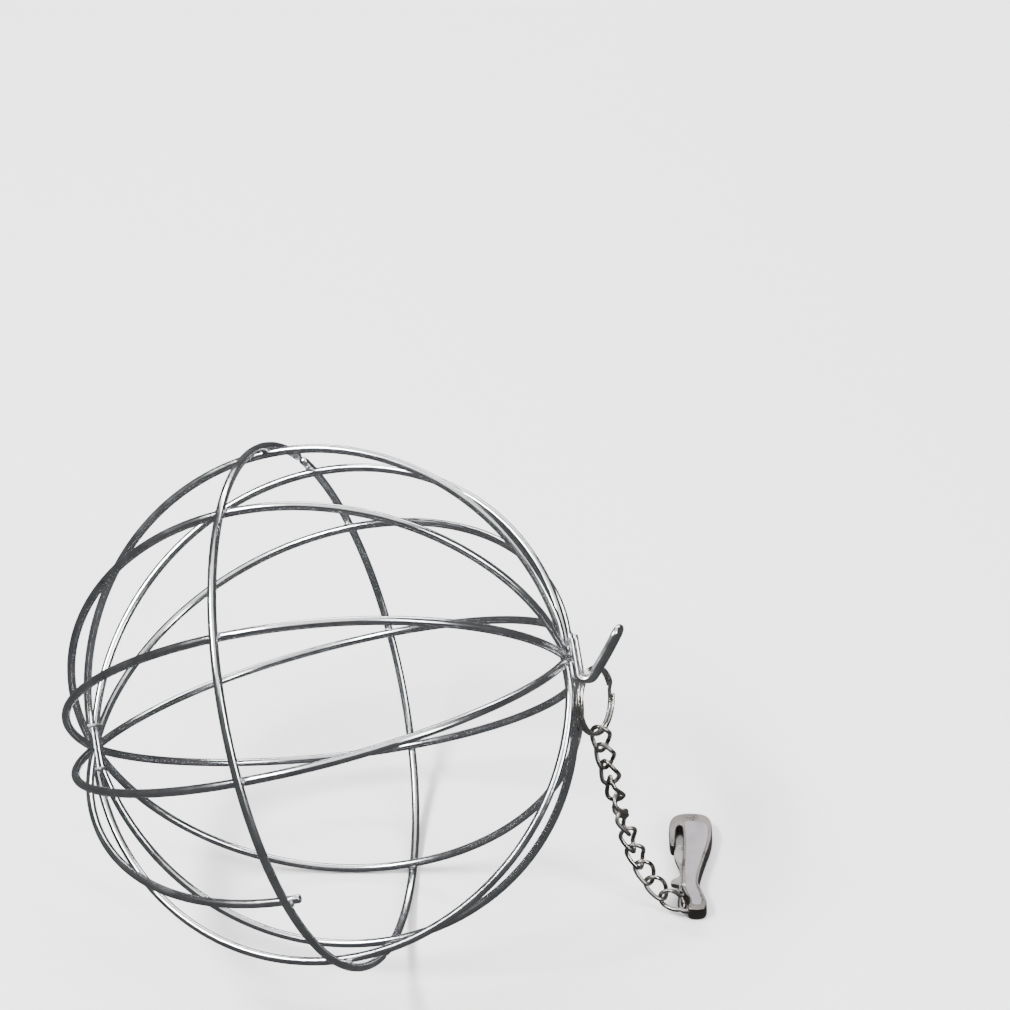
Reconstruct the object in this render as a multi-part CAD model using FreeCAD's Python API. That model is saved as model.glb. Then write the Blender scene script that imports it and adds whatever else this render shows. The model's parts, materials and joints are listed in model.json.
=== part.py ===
import FreeCAD, Part
import math
import os

# A hanging wire hay ball: two half shells of round wire hinged at one pole, a hook at the other
# pole, and a key ring, curb chain and lobster clasp that hang from the hook.
# Ball frame: origin at the ball's centre, X through the poles (hook at +X), Y across the hinge,
# Z towards the opening shell (the lid). Part frame: +Z up, origin where the key ring hangs.
# All lengths are in millimetres and all angles in degrees.

Vec = FreeCAD.Vector

# ---- ball -------------------------------------------------------------------------------------
ball_radius = 60.0              # to the wire's centreline
shell_wire = 2.0                # wire diameter
bar_offset = 1.3                # each pole bar's distance from the split plane
lid_rim_angle = 10.5            # lid rim wire above the split plane
base_rim_angle = 17.0           # base rim wire below the split plane
lid_wire_angles = (45.4, 76.5, 106.5)
short_wire_angle = 136.7        # stops at the half ring, which leaves the feeding gap
short_wire_tip = 87.6           # polar angle where the short wire ends
base_wire_angles = (228.3, 260.4, 288.8, 319.3)
half_ring_radius = ball_radius + 1.8
lid_ring_span = (-10.0, 192.0)
base_ring_span = (195.0, 347.0)

# ---- hinge loops at the -X pole ---------------------------------------------------------------
loop_wire = 0.9
loop_offset = 5.3               # each loop's distance from the ball's axis
loop_clearance = 0.06           # radial running clearance round the lid's bar

# ---- hook at the +X pole ----------------------------------------------------------------------
hook_wire = 1.6
hook_half_gap = 2.0             # half the distance between its two legs
hook_leg_x = 61.9
hook_leg_top = 5.1
hook_bend_radius = 1.8
hook_bend_y = -3.7              # centre of the bend that carries the key ring
hook_flare = 50.0               # slope of the long legs
hook_leg_length = 10.4
weld_radius = 1.15
weld_heights = (-2.8, 2.6)
weld_depth = -1.75
weld_inset = 0.7                # from the short legs towards the ball

# ---- how the ball lies ------------------------------------------------------------------------
axis_tilt = 14.0                # hook pole above the hinge pole
split_roll = 42.6               # split plane leans back from upright by 90 less this

# ---- key ring ---------------------------------------------------------------------------------
ring_radius = 7.7
ring_width = 1.7                # two turns side by side
ring_thickness = 0.9
ring_clearance = 0.42           # to the hook's legs
ring_link_gap = 0.4             # to the chain's first link
ring_twist = 14.0
ring_swing = -13.0
ring_chain_angle = 20.0         # where the chain sits on the ring

# ---- chain ------------------------------------------------------------------------------------
link_count = 11
link_wire = 1.2
link_half_width = 1.85          # to the wire's centreline
link_clearance = 0.13
link_pitch = 5.68
chain_sag = 6.6                 # horizontal pull, as a length of chain
chain_lift = 1.2                # upward pull at the clasp, as a length of chain
chain_heading = -15.5           # the chain runs out this way from +X

# ---- clasp ------------------------------------------------------------------------------------
clasp_thickness = 4.0
clasp_eye_radius = 1.6
clasp_eye_rim = 1.25
clasp_tab_thickness = 1.7
clasp_tab_rise = 0.45           # the eye sits above the claw's mid plane
clasp_groove = 1.7
clasp_cheek_gap = 0.1
clasp_lever_pivot = (-1.2, 5.0)
clasp_pin_radius = 0.5
clasp_pin_clearance = 0.04
clasp_link_grip = 1.75          # from the eye's rim to the far apex of the last link
spring_wire = 0.22
spring_gap = 0.06
spring_height = 0.75
spring_recess_radius = 1.0
spring_recess_depth = 1.0


def ball_point(polar, azimuth, radius=ball_radius):
    """A point on a sphere about the ball's centre, in the ball frame."""
    theta = math.radians(polar)
    phi = math.radians(azimuth)
    across = radius * math.sin(theta)
    return Vec(radius * math.cos(theta), across * math.cos(phi), across * math.sin(phi))


def arc_tube(centre, axis, start, angle, wire):
    """Round wire bent about an axis, from a start point through an angle."""
    tangent = axis.cross(start - centre)
    disc = Part.Face(Part.Wire(Part.Circle(start, tangent, wire / 2).toShape()))
    return disc.revolve(centre, axis, angle)


def straight_tube(start, end, wire):
    """Straight round wire between two points."""
    run = end - start
    return Part.makeCylinder(wire / 2, run.Length, start, run)


def joined(shapes):
    """One clean solid from shapes that overlap."""
    whole = shapes[0].fuse(shapes[1:]).removeSplitter()
    return whole.Solids[0] if len(whole.Solids) == 1 else whole


def ball_rotation():
    """Turns the ball frame into the part frame."""
    tilt = FreeCAD.Rotation(Vec(0, -1, 0), axis_tilt)
    roll = FreeCAD.Rotation(Vec(1, 0, 0), split_roll)
    return tilt.multiply(roll)


def hook_bend_centre():
    """Centre of the hook's bend, in the ball frame."""
    return Vec(hook_leg_x + hook_bend_radius, hook_bend_y, 0)


def to_part(point):
    """A ball-frame point in the part frame."""
    return ball_rotation().multVec(point - hook_bend_centre())


def turned(direction):
    """A ball-frame direction in the part frame."""
    return ball_rotation().multVec(direction)


def placed(shape):
    """A ball-frame shape moved to the part frame."""
    moved = shape.copy()
    turn = ball_rotation()
    shift = turn.multVec(hook_bend_centre()).negative()
    moved.Placement = FreeCAD.Placement(shift, turn).multiply(moved.Placement)
    return moved


# ---- shells -----------------------------------------------------------------------------------

def end_polar(azimuth):
    """Polar angle where a wire at this azimuth reaches its pole bar."""
    rise = abs(math.sin(math.radians(azimuth)))
    return math.degrees(math.asin(bar_offset / rise / ball_radius))


def meridian(azimuth, first_polar=None):
    """A wire from one pole bar to the other, or from part way round."""
    start_polar = end_polar(azimuth) if first_polar is None else first_polar
    sweep = 180.0 - end_polar(azimuth) - start_polar
    phi = math.radians(azimuth)
    axis = Vec(0, -math.sin(phi), math.cos(phi))
    return arc_tube(Vec(0, 0, 0), axis, ball_point(start_polar, azimuth), sweep, shell_wire)


def rim_wire(angle, side):
    """A shell's rim: one loop of wire with a straight bar at each pole."""
    upper = angle * side
    lower = 180.0 - upper
    polar = end_polar(angle)
    pieces = [meridian(upper), meridian(lower)]
    for end in (polar, 180.0 - polar):
        corners = [ball_point(end, upper), ball_point(end, lower)]
        pieces.append(straight_tube(corners[0], corners[1], shell_wire))
        for corner in corners:
            pieces.append(Part.makeSphere(shell_wire / 2, corner))
    return joined(pieces)


def half_ring(span):
    """A band of wire round the outside of a shell, half way between the poles."""
    start = ball_point(90.0, span[0], half_ring_radius)
    return arc_tube(Vec(0, 0, 0), Vec(1, 0, 0), start, span[1] - span[0], shell_wire)


def hinge_loop(side):
    """A crimped loop of thin wire that holds the lid's bar to the base rim."""
    polar = end_polar(lid_rim_angle)
    bar = Vec(-ball_radius * math.cos(math.radians(polar)), side * loop_offset, bar_offset)
    reach = loop_offset / math.cos(math.radians(base_rim_angle))
    depth = reach * math.sin(math.radians(base_rim_angle))
    rim = Vec(-math.sqrt(ball_radius ** 2 - reach ** 2), side * loop_offset, -depth)
    turn_radius = shell_wire / 2 + loop_clearance + loop_wire / 2
    along = (rim - bar).normalize()
    across = Vec(0, 1, 0).cross(along)
    pieces = []
    for centre, outward in ((bar, -1), (rim, 1)):
        start = centre + across * turn_radius
        pieces.append(arc_tube(centre, Vec(0, -outward, 0), start, 180.0, loop_wire))
    for edge in (-1, 1):
        offset = across * turn_radius * edge
        pieces.append(straight_tube(bar + offset, rim + offset, loop_wire))
    return joined(pieces)


def hook():
    """A hairpin of wire bent to a V: its short legs are welded along the base's pole bar."""
    bend = hook_bend_centre()
    flare = math.radians(hook_flare)
    along = Vec(math.cos(flare), math.sin(flare), 0)
    leave = bend + Vec(math.sin(flare), -math.cos(flare), 0) * hook_bend_radius
    pieces = []
    for side in (-1, 1):
        shift = Vec(0, 0, side * hook_half_gap)
        top = Vec(hook_leg_x, hook_leg_top, 0) + shift
        foot = Vec(hook_leg_x, hook_bend_y, 0) + shift
        pieces.append(straight_tube(top, foot, hook_wire))
        pieces.append(arc_tube(bend + shift, Vec(0, 0, 1), foot, 90.0 + hook_flare, hook_wire))
        pieces.append(straight_tube(leave + shift, leave + shift + along * hook_leg_length, hook_wire))
    tip = leave + along * hook_leg_length
    tip_axis = Vec(0, 0, 1).cross(along)
    tip_start = tip + Vec(0, 0, hook_half_gap)
    pieces.append(arc_tube(tip, tip_axis, tip_start, 180.0, hook_wire))
    for height in weld_heights:
        spot = Vec(hook_leg_x - weld_inset, height, weld_depth)
        pieces.append(Part.makeSphere(weld_radius, spot))
    return joined(pieces)


# ---- key ring ---------------------------------------------------------------------------------

def ring_centre():
    """Centre of the key ring before it swings: over the far leg and under the near leg."""
    inner_reach = ring_radius - (ring_thickness + hook_wire) / 2 - ring_clearance
    outer_reach = ring_radius + (ring_thickness + hook_wire) / 2 + ring_clearance / 2
    depth = (inner_reach ** 2 - outer_reach ** 2) / (4 * hook_half_gap)
    drop = math.sqrt(inner_reach ** 2 - (depth + hook_half_gap) ** 2)
    bend = hook_bend_centre()
    aside = math.tan(math.radians(ring_twist)) * (-hook_half_gap - depth)
    return Vec(bend.x + aside, bend.y - hook_bend_radius - drop, depth)


def ring_frame():
    """Centre, swing rotation and normal of the hanging key ring, in the ball frame."""
    swing = FreeCAD.Rotation(Vec(0, 0, 1), ring_swing)
    twist = math.radians(ring_twist)
    normal = swing.multVec(Vec(math.cos(twist), 0, math.sin(twist)))
    bend = hook_bend_centre()
    centre = bend + swing.multVec(ring_centre() - bend)
    return centre, normal


def key_ring():
    """A split ring, drawn as one band with round edges."""
    centre, normal = ring_frame()
    radial = normal.cross(Vec(0, 0, 1)).normalize()
    half_flat = (ring_width - ring_thickness) / 2
    middle = centre + radial * ring_radius
    half = ring_thickness / 2
    corners = []
    for along, out in ((-1, -1), (1, -1), (1, 1), (-1, 1)):
        corners.append(middle + normal * (half_flat * along) + radial * (half * out))
    tips = [middle + normal * (half_flat + half), middle - normal * (half_flat + half)]
    outline = Part.Wire([
        Part.LineSegment(corners[0], corners[1]).toShape(),
        Part.Arc(corners[1], tips[0], corners[2]).toShape(),
        Part.LineSegment(corners[2], corners[3]).toShape(),
        Part.Arc(corners[3], tips[1], corners[0]).toShape(),
    ])
    return Part.Face(outline).revolve(centre, normal, 360.0)


def chain_start():
    """Where the chain's first link sits on the key ring, and the ring's direction there."""
    centre, normal = ring_frame()
    low = Vec(0, -1, 0) - normal * normal.dot(Vec(0, -1, 0))
    low = low.normalize()
    spin = FreeCAD.Rotation(normal, ring_chain_angle)
    radial = spin.multVec(low)
    return to_part(centre + radial * ring_radius), turned(normal.cross(radial)), turned(radial)


# ---- chain ------------------------------------------------------------------------------------

def chain_axes():
    """The chain hangs in one upright plane: its outward and sideways directions."""
    heading = math.radians(chain_heading)
    outward = Vec(math.cos(heading), math.sin(heading), 0)
    sideways = Vec(0, 0, 1).cross(outward)
    return outward, sideways


def link_directions():
    """Each link's direction, from the key ring down, along the sag of a hanging chain."""
    outward, sideways = chain_axes()
    directions = []
    for number in range(link_count):
        below = (link_count - number - 0.5) * link_pitch
        slope = math.atan2(chain_sag, chain_lift + below)
        directions.append(outward * math.sin(slope) - Vec(0, 0, 1) * math.cos(slope))
    return directions


def link_frames():
    """Each link's first apex, direction, and the direction across it."""
    start, ring_tangent, ring_radial = chain_start()
    outward, sideways = chain_axes()
    directions = link_directions()
    overlap = link_wire + link_clearance
    grip = (link_wire + ring_thickness) / 2 + ring_link_gap
    across = directions[0].cross(ring_tangent).normalize()
    front = sideways.cross(directions[0])
    first = math.degrees(math.atan2(across.dot(front), across.dot(sideways)))
    steps = link_count - 1
    quarter_turns = 90.0 * steps
    drift = (90.0 - first - quarter_turns + 90.0) % 180.0 - 90.0
    apex = start - directions[0] * grip
    frames = []
    for number, along in enumerate(directions):
        twist = math.radians(first + (90.0 + drift / steps) * number)
        front = sideways.cross(along)
        across = sideways * math.cos(twist) + front * math.sin(twist)
        frames.append((apex, along, across))
        end = apex + along * (link_pitch + overlap)
        if number + 1 < link_count:
            apex = end - (along + directions[number + 1]).normalize() * overlap
    return frames


def chain_link(frame):
    """One oval link of round wire."""
    apex, along, across = frame
    length = link_pitch + link_wire + link_clearance
    normal = along.cross(across)
    near = apex + along * link_half_width
    far = apex + along * (length - link_half_width)
    side = across * link_half_width
    pieces = [
        arc_tube(near, normal, near + side, 180.0, link_wire),
        arc_tube(far, normal, far - side, 180.0, link_wire),
        straight_tube(near + side, far + side, link_wire),
        straight_tube(near - side, far - side, link_wire),
    ]
    return joined(pieces)


# ---- clasp ------------------------------------------------------------------------------------

def clasp_eye():
    """Middle of the claw over its eye: the last link holds the eye's side nearest the ball."""
    apex, along, across = link_frames()[-1]
    length = link_pitch + link_wire + link_clearance
    rim = apex + along * (length - clasp_link_grip)
    return rim + Vec(clasp_eye_radius + clasp_eye_rim / 2, 0, -clasp_tab_rise)


def slab(points, thickness):
    """A flat piece with a smooth outline, centred on its own mid plane."""
    curve = Part.BSplineCurve()
    curve.interpolate([Vec(x, y, -thickness / 2) for x, y in points], PeriodicFlag=True)
    return Part.Face(Part.Wire(curve.toShape())).extrude(Vec(0, 0, thickness))


def plate(points, thickness):
    """A flat piece with a straight-sided outline, centred on its own mid plane."""
    corners = [Vec(x, y, -thickness / 2) for x, y in points]
    return Part.Face(Part.makePolygon(corners + corners[:1])).extrude(Vec(0, 0, thickness))


def upright(x, y, radius, height):
    """An upright cylinder centred on the clasp's mid plane."""
    return Part.makeCylinder(radius, height, Vec(x, y, -height / 2), Vec(0, 0, 1))


def clasp_body():
    """The claw: a waisted plate with an eye, a throat on its left and a groove for the lever."""
    outline = [(-2.7, 2.6), (0.0, 2.0), (2.9, 2.8), (2.5, 7.2), (3.5, 13.0), (5.1, 19.0), (5.3, 23.4),
               (3.6, 27.0), (0.0, 28.3), (-3.6, 27.6), (-5.2, 24.6), (-5.3, 21.0), (-4.7, 18.0),
               (-3.9, 17.6), (-3.7, 19.5), (-3.6, 23.0), (-2.7, 24.4), (-1.8, 23.0), (-1.7, 17.0),
               (-2.0, 9.0)]
    body = slab(outline, clasp_thickness)
    tab = upright(0, 0, clasp_eye_radius + clasp_eye_rim, clasp_tab_thickness)
    tab_sides = [(-2.4, 0.0), (2.4, 0.0), (2.2, 3.2), (-2.2, 3.2)]
    tab = tab.fuse(plate(tab_sides, clasp_tab_thickness))
    tab.translate(Vec(0, 0, clasp_tab_rise))
    body = body.fuse(tab)
    groove = [(-8.0, 2.6), (-1.2, 2.6), (0.6, 3.3), (1.1, 8.0), (2.4, 18.0), (1.6, 20.2), (-3.2, 20.2),
              (-3.2, 17.0), (-8.0, 17.0)]
    body = body.cut(plate(groove, clasp_groove))
    body = body.cut(upright(0, 0, clasp_eye_radius, clasp_thickness * 2))
    pivot = clasp_lever_pivot
    return body.cut(upright(pivot[0], pivot[1], clasp_pin_radius, clasp_thickness * 2)).Solids[0]


def clasp_lever():
    """The gate: it turns on the pin, and closes on the inside of the claw's tip."""
    pivot = clasp_lever_pivot
    thickness = clasp_groove - 2 * clasp_cheek_gap
    outline = [(-1.2, 3.8), (0.0, 5.0), (-0.7, 6.6), (-1.5, 12.0), (-2.1, 18.2), (-2.7, 18.9), (-3.3, 18.2),
               (-3.2, 13.0), (-2.8, 8.4), (-4.3, 7.4), (-4.5, 6.5), (-2.6, 5.8), (-2.4, 4.8)]
    lever = slab(outline, thickness)
    lever = lever.cut(upright(pivot[0], pivot[1], clasp_pin_radius + clasp_pin_clearance, thickness * 2))
    recess = upright(pivot[0], pivot[1], spring_recess_radius, spring_recess_depth)
    recess.translate(Vec(0, 0, (thickness - spring_recess_depth) / 2 + clasp_cheek_gap / 2))
    return lever.cut(recess).Solids[0]


def clasp_pin():
    """The lever's pin, pressed into both cheeks of the claw."""
    pivot = clasp_lever_pivot
    return upright(pivot[0], pivot[1], clasp_pin_radius, clasp_thickness)


def clasp_spring():
    """The close-wound coil round the pin that pushes the lever shut, drawn as a sleeve."""
    pivot = clasp_lever_pivot
    inner = clasp_pin_radius + spring_gap
    outer = inner + spring_wire
    coil = upright(pivot[0], pivot[1], outer, spring_height)
    coil = coil.cut(upright(pivot[0], pivot[1], inner, spring_height * 2))
    coil.translate(Vec(0, 0, (clasp_groove - spring_height) / 2 - clasp_cheek_gap))
    return coil.Solids[0]


def write_parts():
    """Every node, in the part frame."""
    os.makedirs("parts", exist_ok=True)
    ball = {
        "lid_rim_wire": rim_wire(lid_rim_angle, 1),
        "lid_short_wire": meridian(short_wire_angle, short_wire_tip),
        "lid_half_ring": half_ring(lid_ring_span),
        "base_rim_wire": rim_wire(base_rim_angle, -1),
        "base_half_ring": half_ring(base_ring_span),
        "hinge_loop_upper": hinge_loop(1),
        "hinge_loop_lower": hinge_loop(-1),
        "hook": hook(),
        "key_ring": key_ring(),
    }
    for number, angle in enumerate(lid_wire_angles, 1):
        ball["lid_wire_%d" % number] = meridian(angle)
    for number, angle in enumerate(base_wire_angles, 1):
        ball["base_wire_%d" % number] = meridian(angle)
    parts = {name: placed(shape) for name, shape in ball.items()}
    for number, frame in enumerate(link_frames(), 1):
        parts["chain_link_%02d" % number] = chain_link(frame)
    clasp = {
        "clasp_body": clasp_body(),
        "clasp_lever": clasp_lever(),
        "clasp_pin": clasp_pin(),
        "clasp_spring": clasp_spring(),
    }
    for name, shape in clasp.items():
        shape.translate(clasp_eye())
        parts[name] = shape
    for name, shape in parts.items():
        shape.exportStep("parts/%s.step" % name)


write_parts()
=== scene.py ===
import bmesh
import bpy
import json
import math
from mathutils import Matrix, Vector, noise

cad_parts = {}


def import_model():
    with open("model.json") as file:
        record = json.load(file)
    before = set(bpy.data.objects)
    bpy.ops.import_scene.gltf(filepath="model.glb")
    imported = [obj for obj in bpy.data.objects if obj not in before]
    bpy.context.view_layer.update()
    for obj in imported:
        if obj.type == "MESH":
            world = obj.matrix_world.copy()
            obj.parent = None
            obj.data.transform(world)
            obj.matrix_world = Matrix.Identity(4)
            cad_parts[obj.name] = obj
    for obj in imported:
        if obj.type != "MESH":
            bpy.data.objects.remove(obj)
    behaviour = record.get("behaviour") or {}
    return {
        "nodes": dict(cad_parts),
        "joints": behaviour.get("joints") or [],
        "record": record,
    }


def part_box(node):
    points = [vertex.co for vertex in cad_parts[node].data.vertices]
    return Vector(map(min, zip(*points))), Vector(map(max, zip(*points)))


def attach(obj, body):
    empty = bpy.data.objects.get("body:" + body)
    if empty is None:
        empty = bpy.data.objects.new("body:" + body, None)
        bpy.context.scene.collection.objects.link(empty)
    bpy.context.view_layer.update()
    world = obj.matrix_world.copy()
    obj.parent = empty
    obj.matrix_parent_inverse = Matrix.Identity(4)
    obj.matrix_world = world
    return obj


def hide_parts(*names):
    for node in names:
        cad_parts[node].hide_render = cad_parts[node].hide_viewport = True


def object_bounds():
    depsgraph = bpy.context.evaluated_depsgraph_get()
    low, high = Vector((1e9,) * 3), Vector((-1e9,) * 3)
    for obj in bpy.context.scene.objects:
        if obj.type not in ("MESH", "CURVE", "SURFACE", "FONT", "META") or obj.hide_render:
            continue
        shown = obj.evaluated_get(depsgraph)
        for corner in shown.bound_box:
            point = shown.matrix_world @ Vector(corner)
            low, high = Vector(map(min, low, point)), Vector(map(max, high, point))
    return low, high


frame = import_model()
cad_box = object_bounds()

# A hanging wire hay ball. Everything is in metres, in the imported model's frame.
# Ball frame: a through the poles (hook at +a), e across the hinge, n towards the lid.

MM = 0.001
record = frame["record"]
mounts = {m["name"]: m for m in record["mounts"]}
joints = {j["name"]: j for j in frame["joints"]}
centre = Vector(mounts["ball_centre"]["pos_m"])
n_axis = Vector(mounts["ball_centre"]["axis"]).normalized()
e_axis = -Vector(joints["lid_hinge"]["axis"]).normalized()
a_axis = e_axis.cross(n_axis).normalized()

BALL_R = 60 * MM
WIRE_R = 1.0 * MM
BAR_OFFSET = 1.3 * MM
HALF_RING_R = 61.8 * MM
# Wires are given by their azimuth about the poles, in degrees: 0 at +e, 90 at +n.
LID_RIM, BASE_RIM = 10.5, 17.0
LID_WIRES = (45.4, 76.5, 106.5)
SHORT_WIRE, SHORT_TIP = 136.7, 87.6
BASE_WIRES = (228.3, 260.4, 288.8, 319.3)
LID_RING, BASE_RING = (-10.0, 192.0), (195.0, 347.0)

WIRE_STEPS, SHORT_STEPS, BAND_STEPS, CORNER_STEPS = 84, 44, 110, 9
CORNER = 2.2                        # degrees of arc that a rim's corner takes, at each side of it
WANDER_SIDE, WANDER_OUT = 0.30 * MM, 0.22 * MM      # how far bent wires stray from the true circle
POLE_BEAD, CROSSING_BEAD, SHORT_BEAD = 1.05 * MM, 1.15 * MM, 1.2 * MM
BEAD_RETREAT = 0.18 * MM            # pole beads sit away from the other half


# ---- points -----------------------------------------------------------------------------------

def at(x, y, z):
    """A point given in the ball frame, in millimetres."""
    return centre + (a_axis * x + e_axis * y + n_axis * z) * MM


def shell(polar, azimuth, radius=BALL_R):
    """A point on a sphere about the ball's centre."""
    t, p = math.radians(polar), math.radians(azimuth)
    across = math.sin(t)
    return centre + (a_axis * math.cos(t) + e_axis * (across * math.cos(p))
                     + n_axis * (across * math.sin(p))) * radius


def end_polar(azimuth):
    """Polar angle where a wire at this azimuth reaches its pole bar."""
    return math.degrees(math.asin(BAR_OFFSET / abs(math.sin(math.radians(azimuth))) / BALL_R))


def spread(start, end, count):
    """Evenly spaced numbers from start to end."""
    return [start + (end - start) * i / (count - 1) for i in range(count)]


def smooth(t):
    """0 to 1 with soft ends."""
    t = min(1.0, max(0.0, t))
    return t * t * (3 - 2 * t)


# ---- meshes -----------------------------------------------------------------------------------

def new_object(name, bm, material):
    mesh = bpy.data.meshes.new(name)
    bmesh.ops.recalc_face_normals(bm, faces=bm.faces)
    bm.to_mesh(mesh)
    bm.free()
    for face in mesh.polygons:
        face.use_smooth = True
    obj = bpy.data.objects.new(name, mesh)
    bpy.context.scene.collection.objects.link(obj)
    mesh.materials.append(material)
    return obj


def frames_along(points, closed, up=None):
    """Tangent, side and up at each point, carried along without twist."""
    count = len(points)
    tangents = []
    for i in range(count):
        if closed:
            step = points[(i + 1) % count] - points[i - 1]
        else:
            step = points[min(i + 1, count - 1)] - points[max(i - 1, 0)]
        tangents.append(step.normalized())
    side = up.cross(tangents[0]) if up else tangents[0].orthogonal()
    side = (side - tangents[0] * side.dot(tangents[0])).normalized()
    out = []
    for tangent in tangents:
        side = (side - tangent * side.dot(tangent)).normalized()
        out.append((tangent, side, tangent.cross(side)))
    if closed:
        last = out[-1][1] - tangents[0] * out[-1][1].dot(tangents[0])
        gap = out[0][1].angle(last.normalized())
        if out[0][1].cross(last).dot(tangents[0]) > 0:
            gap = -gap
        for i, (tangent, side, top) in enumerate(out):
            turn = Matrix.Rotation(gap * i / count, 3, tangent)
            out[i] = (tangent, turn @ side, turn @ top)
    return out


def add_tube(bm, points, radius, sides=16, closed=False, section=None, up=None, chamfer=0.25):
    """A swept wire with chamfered cut ends. radius may be a number or one number per point.
    section is a list of (side, up) factors for a wire that isn't round."""
    uv = bm.loops.layers.uv.verify()
    if section is None:
        section = [(math.cos(2 * math.pi * k / sides), math.sin(2 * math.pi * k / sides))
                   for k in range(sides)]
    sides = len(section)
    radii = list(radius) if isinstance(radius, (list, tuple)) else [radius] * len(points)
    carried = frames_along(points, closed, up)
    rings, along, run = [], [], 0.0
    for i, point in enumerate(points):
        if i:
            run += (point - points[i - 1]).length
        rings.append([bm.verts.new(point + (carried[i][1] * x + carried[i][2] * y) * radii[i])
                      for x, y in section])
        along.append(run)
    if not closed:
        for end, sign in ((0, -1), (-1, 1)):
            cut = chamfer * radii[end]
            tangent, side, top = carried[end]
            for shrink, push in ((0.92, 0.45), (1 - chamfer * 1.2, 1.0)):
                ring = [bm.verts.new(points[end] + tangent * (sign * cut * push)
                                     + (side * x + top * y) * (radii[end] * shrink))
                        for x, y in section]
                if sign < 0:
                    rings.insert(0, ring)
                    along.insert(0, along[0])
                else:
                    rings.append(ring)
                    along.append(along[-1])
    total = len(rings)
    for i in range(total if closed else total - 1):
        j = (i + 1) % total
        for k in range(sides):
            m = (k + 1) % sides
            face = bm.faces.new((rings[i][k], rings[i][m], rings[j][m], rings[j][k]))
            far = along[j] if j else run + (points[0] - points[-1]).length
            spots = ((along[i], k), (along[i], k + 1), (far, k + 1), (far, k))
            for loop, (u, v) in zip(face.loops, spots):
                loop[uv].uv = (u * 100, v / sides)
    if not closed:
        for ring in (list(reversed(rings[0])), rings[-1]):
            face = bm.faces.new(ring)
            for loop in face.loops:
                loop[uv].uv = (0.5, 0.5)
    return bm


def tube(name, points, radius, material, **options):
    """One swept wire as an object."""
    return new_object(name, add_tube(bmesh.new(), points, radius, **options), material)


def add_bead(bm, spot, normal, size, seed, squash=0.6, length=1.0, direction=None):
    """A small lumpy weld bead, flattened along its normal."""
    made = bmesh.ops.create_icosphere(bm, subdivisions=3, radius=1.0)["verts"]
    normal = normal.normalized()
    side = direction if direction else normal.orthogonal()
    side = (side - normal * side.dot(normal)).normalized()
    other = normal.cross(side)
    shift = Vector((seed * 3.7, seed * 1.3, seed * 2.1))
    for vert in made:
        coarse, fine = noise.noise(vert.co * 1.9 + shift), noise.noise(vert.co * 6 + shift)
        local = vert.co * ((1 + 0.16 * coarse + 0.05 * fine) * size)
        vert.co = spot + side * local.x * length + other * local.y + normal * local.z * squash


def bead_group(name, beads, material):
    """Several weld beads as one object."""
    bm = bmesh.new()
    for number, bead in enumerate(beads):
        add_bead(bm, seed=number + 1, **bead)
    return new_object(name, bm, material)


def finish_piece(obj, body, replaced=()):
    """Hangs the piece on its body, and hides the CAD parts that it stands in for."""
    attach(obj, body)
    if replaced:
        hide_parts(*replaced)
    return obj


# ---- materials --------------------------------------------------------------------------------

GRAIN = 900.0                       # scale of the metals' fine detail


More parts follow.
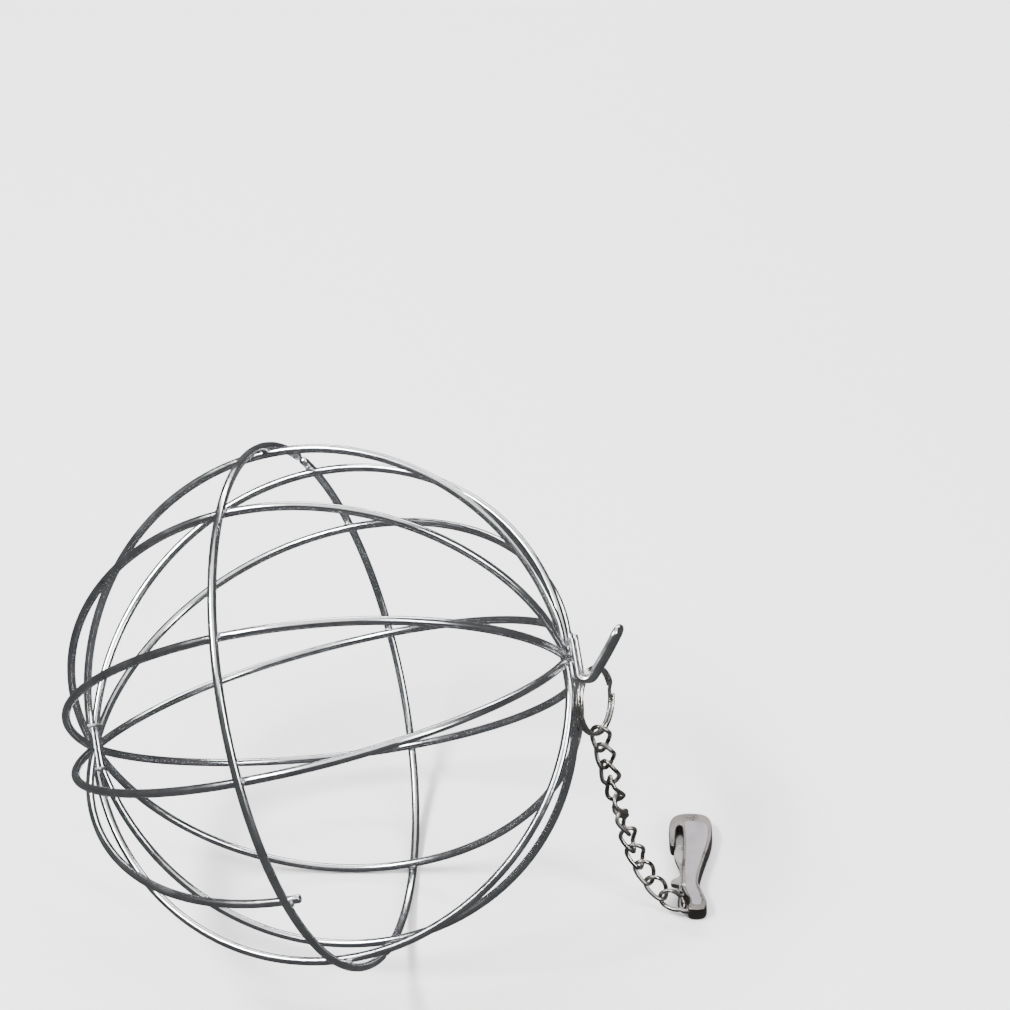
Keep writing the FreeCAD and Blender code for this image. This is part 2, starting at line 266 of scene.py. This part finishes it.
def plated(name, color, dark, rough, grime, streak=0.0, bump=0.02):
    """Plated metal: colour drift, dirt, roughness patches, fine pits and lines along the wire."""
    mat = bpy.data.materials.new(name)
    mat.use_nodes = True
    tree = mat.node_tree
    nodes, links = tree.nodes, tree.links
    shader = nodes["Principled BSDF"]
    shader.inputs["Metallic"].default_value = 1.0
    coords = nodes.new("ShaderNodeTexCoord")

    def field(source, size, detail, stretch=(1, 1, 1), roughness=0.55):
        mapping = nodes.new("ShaderNodeMapping")
        mapping.inputs["Scale"].default_value = stretch
        links.new(coords.outputs[source], mapping.inputs["Vector"])
        texture = nodes.new("ShaderNodeTexNoise")
        texture.inputs["Scale"].default_value = size
        texture.inputs["Detail"].default_value = detail
        texture.inputs["Roughness"].default_value = roughness
        links.new(mapping.outputs["Vector"], texture.inputs["Vector"])
        return texture.outputs["Fac"]

    def spread_to(value, low, high, out_low, out_high):
        node = nodes.new("ShaderNodeMapRange")
        node.inputs["From Min"].default_value = low
        node.inputs["From Max"].default_value = high
        node.inputs["To Min"].default_value = out_low
        node.inputs["To Max"].default_value = out_high
        links.new(value, node.inputs["Value"])
        return node.outputs["Result"]

    patches = field("Object", GRAIN * 0.12, 4)
    tint = nodes.new("ShaderNodeMixRGB")
    tint.inputs["Color1"].default_value = (*dark, 1)
    tint.inputs["Color2"].default_value = (*color, 1)
    links.new(spread_to(patches, 0.32, 0.62, 0.0, 1.0), tint.inputs["Fac"])

    spots = field("Object", GRAIN * 0.45, 5, roughness=0.7)
    dirt = nodes.new("ShaderNodeMixRGB")
    dirt.inputs["Color2"].default_value = (dark[0] * 0.42, dark[1] * 0.4, dark[2] * 0.38, 1)
    links.new(tint.outputs["Color"], dirt.inputs["Color1"])
    links.new(spread_to(spots, 0.6, 0.74, 0.0, grime), dirt.inputs["Fac"])
    links.new(dirt.outputs["Color"], shader.inputs["Base Color"])

    smears = field("Object", GRAIN * 0.22, 3)
    links.new(spread_to(smears, 0.3, 0.7, rough * 0.75, rough * 1.5), shader.inputs["Roughness"])

    pits = nodes.new("ShaderNodeBump")
    pits.inputs["Strength"].default_value = bump * 8
    pits.inputs["Distance"].default_value = 0.00004
    links.new(field("Object", GRAIN * 1.6, 3), pits.inputs["Height"])
    normal = pits.outputs["Normal"]
    if streak:
        lines = nodes.new("ShaderNodeBump")
        lines.inputs["Strength"].default_value = streak
        lines.inputs["Distance"].default_value = 0.00003
        links.new(field("UV", 1.0, 3, stretch=(0.35, 34.0, 1.0)), lines.inputs["Height"])
        links.new(normal, lines.inputs["Normal"])
        normal = lines.outputs["Normal"]
    links.new(normal, shader.inputs["Normal"])
    return mat


# Name, usual colour, dark colour, roughness, dirt.
wire_metal = plated("plated_wire", (0.60, 0.605, 0.62), (0.47, 0.475, 0.49), 0.17, 0.35,
                    streak=0.35)
hook_metal = plated("hook_wire", (0.60, 0.605, 0.615), (0.47, 0.47, 0.48), 0.16, 0.3, streak=0.3)
weld_metal = plated("weld_bead", (0.50, 0.50, 0.51), (0.30, 0.30, 0.31), 0.3, 0.6, bump=0.06)
loop_metal = plated("crimped_loop", (0.46, 0.46, 0.47), (0.33, 0.33, 0.34), 0.3, 0.5, streak=0.4)
ring_metal = plated("ring_nickel", (0.56, 0.545, 0.52), (0.42, 0.41, 0.39), 0.2, 0.4, streak=0.3)
chain_metal = plated("chain_nickel", (0.34, 0.322, 0.302), (0.2, 0.19, 0.18), 0.24, 0.6, bump=0.04)
clasp_metal = plated("clasp_nickel", (0.18, 0.168, 0.16), (0.13, 0.12, 0.113), 0.3, 0.25, bump=0.03)
plate_metal = plated("clasp_face", (0.25, 0.235, 0.245), (0.22, 0.207, 0.218), 0.42, 0.1)
lever_metal = plated("lever_nickel", (0.30, 0.285, 0.275), (0.21, 0.20, 0.19), 0.26, 0.4, bump=0.03)
pin_metal = plated("pin_steel", (0.50, 0.50, 0.50), (0.35, 0.35, 0.35), 0.28, 0.4)
spring_metal = plated("spring_steel", (0.42, 0.42, 0.43), (0.28, 0.28, 0.29), 0.3, 0.3, streak=0.3)


# ---- shell wires ------------------------------------------------------------------------------

def bent(polar, azimuth, seed, radius=BALL_R):
    """A point on a wire that has been handled, so it's a little off the true circle."""
    hold = math.sin(math.radians(polar)) ** 2
    free = hold * (0.35 + 0.65 * abs(math.cos(math.radians(polar))))
    drift = WANDER_SIDE * math.sin(math.radians(polar * 2.3 + seed * 57)) * free
    lift = WANDER_OUT * math.sin(math.radians(polar * 3.1 + seed * 101)) * free
    return shell(polar, azimuth + math.degrees(drift / BALL_R), radius + lift)


def meridian_points(azimuth, seed, first=None, count=WIRE_STEPS):
    """A wire from pole to pole, or from a given polar angle to the far pole."""
    start = end_polar(azimuth) if first is None else first
    return [bent(p, azimuth, seed) for p in spread(start, 180 - end_polar(azimuth), count)]


def rim_points(angle, side, seed):
    """The closed loop of a rim wire, with a tight bend into a straight bar at each pole."""
    upper, lower = angle * side, 180 - angle * side
    polar = end_polar(angle)
    near, away = polar + CORNER, 180 - polar - CORNER
    reach = BALL_R * math.radians(CORNER)
    path = []
    for azimuth, polars in ((upper, spread(near, away, WIRE_STEPS)),
                            (lower, spread(away, near, WIRE_STEPS))):
        path.extend(bent(p, azimuth, seed) for p in polars)
        end = path[-1]
        other = lower if azimuth == upper else upper
        far = 180 - polar if azimuth == upper else polar
        corner_in = shell(far, azimuth)
        corner_out = shell(far, other)
        direction = (corner_out - corner_in).normalized()
        leave = corner_in + direction * reach
        arrive = corner_out - direction * reach
        start_next = bent(far + (CORNER if far < 90 else -CORNER), other, seed)
        steps = spread(0.0, 1.0, CORNER_STEPS)[1:]
        path.extend(end.lerp(corner_in, t).lerp(corner_in.lerp(leave, t), t) for t in steps)
        path.extend(leave.lerp(arrive, t) for t in steps)
        path.extend(arrive.lerp(corner_out, t).lerp(corner_out.lerp(start_next, t), t)
                    for t in steps[:-1])
    return path


def shell_half(body, rim, side, wires, ring_span, seed):
    """The wires of one half of the ball. Returns the places of its weld beads."""
    rim_path = rim_points(rim, side, seed)
    finish_piece(tube(body + "_rim", rim_path, WIRE_R, wire_metal, closed=True), body,
                 (body + "_rim_wire",))
    beads = []
    for number, azimuth in enumerate(wires, 1):
        path = meridian_points(azimuth, seed + number)
        finish_piece(tube("%s_meridian_%d" % (body, number), path, WIRE_R, wire_metal), body,
                     ("%s_wire_%d" % (body, number),))
        for polar in (end_polar(azimuth), 180 - end_polar(azimuth)):
            spot = shell(polar, azimuth)
            beads.append(dict(spot=spot + n_axis * (side * BEAD_RETREAT), normal=spot - centre,
                              size=POLE_BEAD, squash=0.88))
    ring = [shell(90, azimuth, HALF_RING_R) for azimuth in spread(*ring_span, BAND_STEPS)]
    finish_piece(tube(body + "_band", ring, WIRE_R, wire_metal), body,
                 (body + "_half_ring",))
    for azimuth in [rim * side, 180 - rim * side] + list(wires):
        spot = shell(90, azimuth, (BALL_R + HALF_RING_R) / 2)
        beads.append(dict(spot=spot, normal=spot - centre, size=CROSSING_BEAD, squash=0.55))
    return beads


lid_beads = shell_half("lid", LID_RIM, 1, LID_WIRES, LID_RING, 1)
base_beads = shell_half("base", BASE_RIM, -1, BASE_WIRES, BASE_RING, 11)
short_path = meridian_points(SHORT_WIRE, 7, SHORT_TIP, SHORT_STEPS)
finish_piece(tube("lid_meridian_short", short_path, WIRE_R, wire_metal), "lid",
             ("lid_short_wire",))
lid_beads.append(dict(spot=shell(90, SHORT_WIRE, (BALL_R + HALF_RING_R) / 2),
                      normal=shell(90, SHORT_WIRE) - centre, size=SHORT_BEAD, squash=0.6))
lid_beads.append(dict(spot=shell(180 - end_polar(SHORT_WIRE), SHORT_WIRE), normal=-a_axis,
                      size=POLE_BEAD, squash=0.88))
finish_piece(bead_group("lid_welds", lid_beads, weld_metal), "lid")


# ---- hinge loops ------------------------------------------------------------------------------

LOOP_R = 0.45 * MM
LOOP_Y = 5.3                        # each loop's distance from the pole, in millimetres
LOOP_PLAY = 0.06 * MM
ARC_STEPS, SIDE_STEPS = 15, 6


def hinge_loop(name, side, node):
    """A closed loop of thin wire, once round the lid's bar and the base's rim."""
    polar = end_polar(LID_RIM)
    radius = BALL_R / MM
    bar = at(-radius * math.cos(math.radians(polar)), side * LOOP_Y, BAR_OFFSET / MM)
    reach = LOOP_Y / math.cos(math.radians(BASE_RIM))
    depth = reach * math.sin(math.radians(BASE_RIM))
    rim = at(-math.sqrt(radius ** 2 - reach ** 2), side * LOOP_Y, -depth)
    along = (rim - bar).normalized()
    across = e_axis.cross(along)
    turn = WIRE_R + LOOP_R + LOOP_PLAY
    path = []
    for start, end, way in ((bar, rim, 1), (rim, bar, -1)):
        for a in spread(0, math.pi, ARC_STEPS):
            path.append(start + (across * math.cos(a) - along * math.sin(a)) * (turn * way))
        for t in spread(0, 1, SIDE_STEPS)[1:-1]:
            path.append(start.lerp(end, t) - across * (turn * way))
    piece = tube(name, path, LOOP_R, loop_metal, closed=True, sides=12)
    finish_piece(piece, "base", (node,))


hinge_loop("hinge_wrap_upper", 1, "hinge_loop_upper")
hinge_loop("hinge_wrap_lower", -1, "hinge_loop_lower")


# ---- hook -------------------------------------------------------------------------------------

# Millimetres and degrees, except the radii of the wire and the beads.
HOOK_R = 0.8 * MM
HOOK_GAP = 2.0                      # from the middle to each wire of the hairpin
HOOK_X, HOOK_TOP, HOOK_BEND_Y, HOOK_BEND_R = 61.9, 5.1, -3.7, 1.8
HOOK_FLARE, HOOK_LEG, HOOK_CURVE = 50.0, 10.4, 5.0
SHANK_STEPS, BEND_STEPS, LEG_STEPS, TIP_STEPS = 10, 18, 11, 17
FOOT_BEAD = 1.15 * MM
FOOT_HEIGHTS, FOOT_DEPTH, FOOT_SIDE = (-2.8, 2.6), 0.7, -1.75


def hook_side(side):
    """From the cut end of a short leg, round the bend, to the far end of the long leg."""
    gap = side * HOOK_GAP
    path = [(HOOK_X, y) for y in spread(HOOK_TOP, HOOK_BEND_Y, SHANK_STEPS)]
    bend_x = HOOK_X + HOOK_BEND_R
    for a in spread(0, 90 + HOOK_FLARE, BEND_STEPS)[1:]:
        t = math.radians(180 + a)
        path.append((bend_x + HOOK_BEND_R * math.cos(t), HOOK_BEND_Y + HOOK_BEND_R * math.sin(t)))
    x, y = path[-1]
    for i in range(LEG_STEPS):
        slope = math.radians(HOOK_FLARE + HOOK_CURVE * (i / (LEG_STEPS - 1) - 0.5))
        x += math.cos(slope) * HOOK_LEG / LEG_STEPS
        y += math.sin(slope) * HOOK_LEG / LEG_STEPS
        path.append((x, y))
    return [at(px, py, gap) for px, py in path]


def hook():
    """The hairpin, and the beads that hold its foot to the base's bar."""
    near, far = hook_side(1), hook_side(-1)
    tip_dir = (near[-1] - near[-2]).normalized()
    middle = (near[-1] + far[-1]) / 2
    half = (near[-1] - far[-1]) / 2
    tip = [middle + half * math.cos(a) + tip_dir * (half.length * math.sin(a))
           for a in spread(0, math.pi, TIP_STEPS)[1:-1]]
    piece = tube("hook_wire", near + tip + list(reversed(far)), HOOK_R, hook_metal, sides=16)
    finish_piece(piece, "base", ("hook",))
    for height in FOOT_HEIGHTS:
        spot = at(HOOK_X - FOOT_DEPTH, height, FOOT_SIDE)
        base_beads.append(dict(spot=spot, normal=a_axis, size=FOOT_BEAD, squash=0.8, length=1.25,
                               direction=e_axis))


hook()
finish_piece(bead_group("base_welds", base_beads, weld_metal), "base")


# ---- key ring ---------------------------------------------------------------------------------

RING_LAY = 0.42 * MM                # each turn's distance from the middle plane
RING_START, RING_WOUND, RING_STEPS = 97.0, 704.0, 190
RING_STEP_AT, RING_STEP_LENGTH = 348.0, 22.0
RING_HALF_DEPTH, RING_HALF_WIDTH = 0.40 * MM, 0.45 * MM
RING_SIDES, RING_SQUARENESS = 14, 0.75


def key_ring():
    """A split ring: flattened wire wound twice, with the step where the turns cross over."""
    node = frame["nodes"]["key_ring"]
    points = [v.co for v in node.data.vertices]
    middle = sum(points, Vector((0, 0, 0))) / len(points)
    chain = Vector(joints["link_01_swing"]["pos_m"])
    tangent = Vector(joints["link_01_swing"]["axis"]).normalized()
    radial = (chain - middle).normalized()
    normal = radial.cross(tangent).normalized()
    radius = (chain - middle).length
    path = []
    for turn in spread(RING_START, RING_START + RING_WOUND, RING_STEPS):
        passed = turn - RING_START
        offset = -RING_LAY + 2 * RING_LAY * smooth((passed - RING_STEP_AT) / RING_STEP_LENGTH)
        angle = math.radians(turn)
        out = radial * math.cos(angle) + tangent * math.sin(angle)
        path.append(middle + out * radius + normal * offset)
    section = []
    for k in range(RING_SIDES):
        c = math.cos(2 * math.pi * k / RING_SIDES)
        s = math.sin(2 * math.pi * k / RING_SIDES)
        section.append((math.copysign(abs(c) ** RING_SQUARENESS, c) * RING_HALF_DEPTH,
                        math.copysign(abs(s) ** RING_SQUARENESS, s) * RING_HALF_WIDTH))
    piece = tube("split_ring", path, 1.0, ring_metal, section=section, up=radial, chamfer=0.0)
    finish_piece(piece, "key_ring", ("key_ring",))


key_ring()


# ---- chain ------------------------------------------------------------------------------------

LINK_COUNT = 11
LINK_R = 0.53 * MM
LINK_HALF = 2.02 * MM
LINK_GRIP = 1.30 * MM               # wire centre to wire centre where two links touch
FIRST_LINK_DROP = 0.25 * MM         # the first link's extra room round the split ring
LAST_LINK_REACH = 1.2 * MM          # past the clasp's pivot, round the bail
LINK_TWIST, LINK_UNEVEN = 76.0, 4.0
LINK_STEPS = 64
LINK_SEAM, SEAM_DEPTH, SEAM_WIDTH = 49, 0.12, 0.7   # the butt joint in each link
# How the first link faces, and the chain's slow turn over so many links.
CHAIN_LIE, CHAIN_TURN, TURN_LINKS = -45.0, 180.0, 9


def oval(s, length):
    """Across and along position at a distance s round an oval link."""
    arc, straight = math.pi * LINK_HALF, length - 2 * LINK_HALF
    if s < arc:
        t = s / LINK_HALF
        return LINK_HALF * math.cos(t), LINK_HALF - LINK_HALF * math.sin(t)
    if s < arc + straight:
        return -LINK_HALF, LINK_HALF + (s - arc)
    if s < 2 * arc + straight:
        t = (s - arc - straight) / LINK_HALF
        return -LINK_HALF * math.cos(t), length - LINK_HALF + LINK_HALF * math.sin(t)
    return LINK_HALF, length - LINK_HALF - (s - 2 * arc - straight)


def chain():
    """Curb links: ovals of wire, each twisted so that they lie nearly the same way."""
    pivots = [Vector(joints["link_%02d_swing" % k]["pos_m"]) for k in range(1, LINK_COUNT + 1)]
    pivots.append(Vector(joints["clasp_swing"]["pos_m"]))
    tangent = Vector(joints["link_01_swing"]["axis"]).normalized()
    for k in range(LINK_COUNT):
        along = (pivots[k + 1] - pivots[k]).normalized()
        grip = LINK_GRIP + (FIRST_LINK_DROP if k == 0 else 0)
        reach = (pivots[k + 1] - pivots[k]).length
        if k == LINK_COUNT - 1:
            reach += LAST_LINK_REACH
        start, length = pivots[k] - along * grip, grip + reach
        flat = along.cross(tangent).normalized()
        lie = math.radians(CHAIN_LIE + CHAIN_TURN * smooth((k + 0.5) / TURN_LINKS))
        lean = math.radians(LINK_TWIST / 2 + LINK_UNEVEN * math.sin(k * 2.1))
        around = 2 * math.pi * LINK_HALF + 2 * (length - 2 * LINK_HALF)
        path, radii = [], []
        for i in range(LINK_STEPS):
            x, y = oval(i / LINK_STEPS * around, length)
            twist = lie - lean * (2 * smooth(y / length) - 1)
            path.append(start + along * y + Matrix.Rotation(twist, 3, along) @ flat * x)
            seam = math.exp(-((i - LINK_SEAM) / SEAM_WIDTH) ** 2)
            radii.append(LINK_R * (1 - SEAM_DEPTH * seam))
        piece = tube("curb_link_%02d" % (k + 1), path, radii, chain_metal, closed=True, sides=12)
        finish_piece(piece, "link_%02d" % (k + 1), ("chain_link_%02d" % (k + 1),))


chain()


# ---- clasp ------------------------------------------------------------------------------------

PIN_TO_EYE = (1.2, -5.0, 0)         # millimetres
low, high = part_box("clasp_pin")
pin_spot = (Vector(low) + Vector(high)) / 2
eye = pin_spot + Vector(PIN_TO_EYE) * MM


def between(p0, p1, p2, p3, steps):
    """Points from p1 towards p2 on the smooth curve through all four."""
    out = []
    for i in range(steps):
        t = i / steps
        out.append(0.5 * ((2 * p1) + (p2 - p0) * t + (2 * p0 - 5 * p1 + 4 * p2 - p3) * t * t
                          + (3 * p1 - p0 - 3 * p2 + p3) * t ** 3))
    return out


def loop_through(points, steps=6):
    """A smooth closed outline through the points."""
    count = len(points)
    out = []
    for i in range(count):
        out.extend(between(*(Vector(points[(i + k - 1) % count]) for k in range(4)), steps))
    return out


def open_curve(points, steps=5):
    """A smooth open line through the points."""
    padded = [points[0]] + list(points) + [points[-1]]
    out = []
    for i in range(len(points) - 1):
        out.extend(between(*(Vector(padded[i + k]) for k in range(4)), steps))
    return out + [Vector(points[-1])]


def prism(outline, bottom, top):
    """A closed block with this outline, standing on the clasp's plane."""
    bm = bmesh.new()
    face = bm.faces.new([bm.verts.new((p[0] * MM, p[1] * MM, bottom * MM)) for p in outline])
    made = bmesh.ops.extrude_face_region(bm, geom=[face])["geom"]
    moved = [g for g in made if isinstance(g, bmesh.types.BMVert)]
    bmesh.ops.translate(bm, verts=moved, vec=(0, 0, (top - bottom) * MM))
    bmesh.ops.translate(bm, verts=bm.verts, vec=eye)
    return bm


def slab(name, outline, bottom, top, material, rounding, segments=3, cuts=()):
    """A flat piece with rounded edges and cut-outs, in the clasp's own plane, in millimetres."""
    obj = new_object(name, prism(outline, bottom, top), material)
    bevel = obj.modifiers.new("round", "BEVEL")
    bevel.width = rounding * MM
    bevel.segments = segments
    bevel.limit_method = "ANGLE"
    bevel.angle_limit = math.radians(50)
    apply_modifiers(obj)
    for cut, low_z, high_z in cuts:
        tool = new_object(name + "_tool", prism(cut, low_z, high_z), material)
        modifier = obj.modifiers.new("cut", "BOOLEAN")
        modifier.object = tool
        modifier.solver = "EXACT"
        apply_modifiers(obj)
        bpy.data.objects.remove(tool)
    return obj


def apply_modifiers(obj):
    """Bakes the modifiers into the mesh."""
    bpy.context.view_layer.update()
    graph = bpy.context.evaluated_depsgraph_get()
    mesh = bpy.data.meshes.new_from_object(obj.evaluated_get(graph))
    obj.modifiers.clear()
    obj.data = mesh
    for face in mesh.polygons:
        face.use_smooth = True


def weighted(obj):
    """Keeps broad faces flat where they meet rounded edges."""
    modifier = obj.modifiers.new("normals", "WEIGHTED_NORMAL")
    modifier.keep_sharp = True
    return obj


# Millimetres from the clasp's eye: x across, y along the claw.
BODY_OUTLINE = [(-0.3, -2.1), (0.6, -2.7), (2.4, -2.8), (3.8, -2.1), (4.2, -0.3), (3.4, 2.4),
                (2.4, 5.0), (2.4, 8.0), (3.5, 13.0), (4.9, 18.4), (5.35, 22.6), (4.9, 25.8),
                (3.4, 27.7), (0.0, 28.3), (-3.4, 27.7), (-5.0, 25.6), (-5.3, 21.5), (-5.0, 18.4),
                (-4.3, 17.5), (-3.75, 18.2), (-3.65, 20.5), (-3.5, 23.2), (-2.7, 24.4),
                (-1.9, 23.0), (-1.7, 17.0), (-1.9, 9.0), (-1.8, 5.0), (-1.25, 2.9), (0.0, 1.0),
                (0.1, -0.6)]
GROOVE = [(-8.0, 2.6), (-1.2, 2.6), (0.6, 3.3), (1.1, 8.0), (2.4, 18.0), (1.6, 20.2),
          (-3.2, 20.2), (-3.2, 17.0), (-8.0, 17.0)]
PLATE_OUTLINE = [(0.45, 0.6), (0.8, -1.0), (2.2, -1.3), (3.1, -0.2), (2.4, 2.6), (1.65, 5.2),
                 (1.75, 8.0), (2.75, 13.0), (4.05, 18.4), (4.4, 22.4), (3.9, 24.4), (2.0, 25.3),
                 (-1.4, 25.4), (-1.35, 23.0), (-1.1, 18.0), (-1.2, 11.0), (-1.1, 6.0), (-0.6, 3.0)]
BAIL_LINE = [(-1.0, 3.1), (-1.75, 2.6), (-2.15, 1.7), (-2.225, 0.7), (-2.225, -0.5),
             (-1.95, -1.5), (-1.2, -2.1), (0.3, -2.1)]
GROOVE_LEVELS = (-0.85, 0.85)
BODY_LEVELS = (-2.0, 1.9)
FACE_LEVELS = (("clasp_face_upper", 1.6, 2.02), ("clasp_face_lower", -2.06, -1.7))
BODY_ROUNDING, FACE_ROUNDING = 0.75, 0.16
BAIL_R = 0.6 * MM


def clasp():
    """The claw with its groove, a smooth face on each side, and the bail of the last link."""
    groove = (GROOVE, *GROOVE_LEVELS)
    body = slab("clasp_claw", loop_through(BODY_OUTLINE), *BODY_LEVELS, clasp_metal,
                BODY_ROUNDING, 5, (groove,))
    weighted(finish_piece(body, "clasp", ("clasp_body",)))
    for name, low_z, high_z in FACE_LEVELS:
        face = slab(name, loop_through(PLATE_OUTLINE), low_z, high_z, plate_metal, FACE_ROUNDING)
        weighted(finish_piece(face, "clasp"))
    rise = Vector(joints["clasp_swing"]["pos_m"]).z - eye.z
    path = [eye + Vector((x * MM, y * MM, rise)) for x, y in open_curve(BAIL_LINE)]
    finish_piece(tube("clasp_bail", path, BAIL_R, clasp_metal, sides=14), "clasp")


clasp()


# ---- carried-over nodes -----------------------------------------------------------------------

def dress(node, material):
    """Gives a CAD node its finish."""
    mesh = frame["nodes"][node].data
    mesh.materials.clear()
    mesh.materials.append(material)


dress("clasp_lever", lever_metal)
dress("clasp_pin", pin_metal)
dress("clasp_spring", spring_metal)


# ---- studio -----------------------------------------------------------------------------------

FLOOR_GAP, FLOOR_RADIUS, DOME_RADIUS = 0.2 * MM, 4.0, 5.0
CAMERA_RIGHT, CAMERA_FORWARD = (0.985, 0.118, -0.1315), (-0.176, 0.686, -0.707)
CAMERA_DISTANCE, CAMERA_LENS, CAMERA_SENSOR = 0.568, 86.3, 36
CAMERA_SHIFT = (0.181, 0.198)       # the ball sits low on the left of the picture


def studio_material(name, color, roughness):
    """A plain matt surface."""
    mat = bpy.data.materials.new(name)
    mat.use_nodes = True
    shader = mat.node_tree.nodes["Principled BSDF"]
    shader.inputs["Base Color"].default_value = (*color, 1)
    shader.inputs["Roughness"].default_value = roughness
    return mat


def floor():
    """A plain pale floor just under the object."""
    bm = bmesh.new()
    bmesh.ops.create_circle(bm, cap_ends=True, segments=96, radius=FLOOR_RADIUS)
    level = cad_box[0].z - FLOOR_GAP
    bmesh.ops.translate(bm, verts=bm.verts, vec=(0, 0, level))
    obj = new_object("studio_floor", bm, studio_material("studio_floor", (0.93, 0.93, 0.93), 0.9))
    obj.visible_glossy = False


def backdrop():
    """A pale dome behind everything. It is seen, but it neither lights nor shades the ball."""
    bm = bmesh.new()
    bmesh.ops.create_uvsphere(bm, u_segments=64, v_segments=32, radius=DOME_RADIUS)
    mat = studio_material("studio_backdrop", (0.0, 0.0, 0.0), 1.0)
    shader = mat.node_tree.nodes["Principled BSDF"]
    shader.inputs["Emission Color"].default_value = (1.0, 1.0, 1.0, 1)
    shader.inputs["Emission Strength"].default_value = 1.6
    obj = new_object("studio_backdrop", bm, mat)
    obj.visible_glossy = False
    obj.visible_diffuse = False
    obj.visible_shadow = False


def light(name, spot, aim, size, power):
    """A soft rectangular light that points at the ball."""
    data = bpy.data.lights.new(name, "AREA")
    data.shape = "RECTANGLE"
    data.size, data.size_y = size
    data.energy = power
    obj = bpy.data.objects.new(name, data)
    obj.location = spot
    obj.rotation_mode = "QUATERNION"
    obj.rotation_quaternion = (Vector(aim) - Vector(spot)).to_track_quat("-Z", "Y")
    bpy.context.scene.collection.objects.link(obj)


def sky_light():
    """Even light from straight above, which keeps the floor pale far off too."""
    data = bpy.data.lights.new("sky", "SUN")
    data.energy = 2.4
    data.angle = math.radians(70)
    bpy.context.scene.collection.objects.link(bpy.data.objects.new("sky", data))


def world():
    """Dim even surroundings, which the bright metal mirrors as its dark edges."""
    scene_world = bpy.data.worlds.new("studio")
    bpy.context.scene.world = scene_world
    scene_world.use_nodes = True
    background = scene_world.node_tree.nodes["Background"]
    background.inputs["Color"].default_value = (0.9, 0.91, 0.93, 1)
    background.inputs["Strength"].default_value = 0.13


def camera():
    """The photograph's view."""
    right = Vector(CAMERA_RIGHT).normalized()
    forward = Vector(CAMERA_FORWARD).normalized()
    up = right.cross(forward).normalized()
    data = bpy.data.cameras.new("camera")
    data.lens = CAMERA_LENS
    data.sensor_width = CAMERA_SENSOR
    data.shift_x, data.shift_y = CAMERA_SHIFT
    data.clip_start, data.clip_end = 0.02, 20
    obj = bpy.data.objects.new("camera", data)
    turn = Matrix((right, up, -forward)).transposed().to_4x4()
    obj.matrix_world = Matrix.Translation(centre - forward * CAMERA_DISTANCE) @ turn
    bpy.context.scene.collection.objects.link(obj)
    bpy.context.scene.camera = obj


floor()
backdrop()
light("key", (-0.55, -0.15, 0.95), centre, (0.55, 0.2), 30)
light("fill", (0.75, -0.45, 0.55), centre, (0.16, 0.6), 12)
light("back", (0.05, 0.95, 0.6), centre, (1.0, 0.16), 13)
sky_light()
world()
camera()
